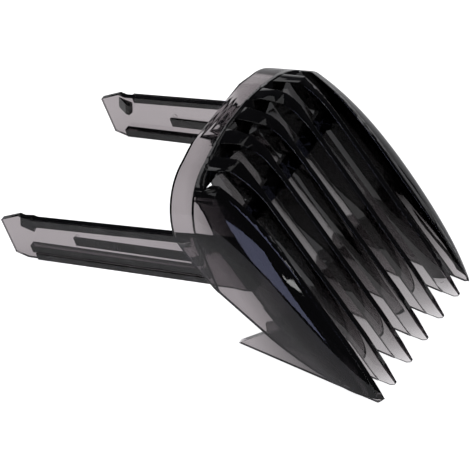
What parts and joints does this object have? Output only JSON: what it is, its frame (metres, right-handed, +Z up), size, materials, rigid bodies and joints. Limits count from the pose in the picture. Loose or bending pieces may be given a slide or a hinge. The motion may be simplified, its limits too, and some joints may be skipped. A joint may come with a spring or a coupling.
{
  "type": "adjustable clipper guard comb",
  "caption": "Adjustable guard comb for a hair clipper in smoked clear plastic: a slotted hood with slim teeth and two sprung slide arms.",
  "frame": {"origin": "middle of the bounding box in plan, at the plane the comb stands on", "axes": "+X right across the teeth, -Y towards the tooth tips, +Y towards the free ends of the slide arms, +Z up"},
  "size_m": [0.0496, 0.0909, 0.0463],
  "materials": {
    "smoked_shell": "polished, clear smoked",
    "smoked_rib": "polished, thick smoked plastic that looks nearly black",
    "smoked_web": "polished, clear smoked",
    "smoked_arm": "polished, clear smoked"
  },
  "bodies": {
    "root": {"rim_band": "smoked_shell", "left_skirt": "smoked_shell", "right_skirt": "smoked_shell", "crown_beam": "smoked_rib", "crossbar": "smoked_rib", "tooth_2": "smoked_rib", "tooth_3": "smoked_rib", "tooth_4": "smoked_rib", "tooth_5": "smoked_rib", "tooth_6": "smoked_rib", "left_outer_tooth": "smoked_rib", "right_outer_tooth": "smoked_rib", "tooth_2_web": "smoked_web", "tooth_3_web": "smoked_web", "tooth_4_web": "smoked_web", "tooth_5_web": "smoked_web", "tooth_6_web": "smoked_web", "left_side_plate": "smoked_web", "right_side_plate": "smoked_web", "left_arm_root": "smoked_arm", "right_arm_root": "smoked_arm"},
    "left_arm": {"left_arm_web": "smoked_arm", "left_arm_slide_rail": "smoked_arm", "left_arm_top_rail": "smoked_arm", "left_arm_outer_rail": "smoked_arm", "left_arm_guide_rib": "smoked_arm", "left_arm_latch_nub": "smoked_arm"},
    "right_arm": {"right_arm_web": "smoked_arm", "right_arm_slide_rail": "smoked_arm", "right_arm_top_rail": "smoked_arm", "right_arm_outer_rail": "smoked_arm", "right_arm_guide_rib": "smoked_arm", "right_arm_latch_nub": "smoked_arm"}
  },
  "joints": [
    {"name": "left_arm_flex", "type": "hinge", "parent": "root", "child": "left_arm", "pos_m": [-0.02044, -0.003, 0.024], "axis": [0, -0.3746, -0.9272], "range_deg": [-1.5, 3], "stiffness_Nm_per_rad": 0.3},
    {"name": "right_arm_flex", "type": "hinge", "parent": "root", "child": "right_arm", "pos_m": [0.02044, -0.003, 0.024], "axis": [0, 0.3746, 0.9272], "range_deg": [-1.5, 3], "stiffness_Nm_per_rad": 0.3}
  ]
}
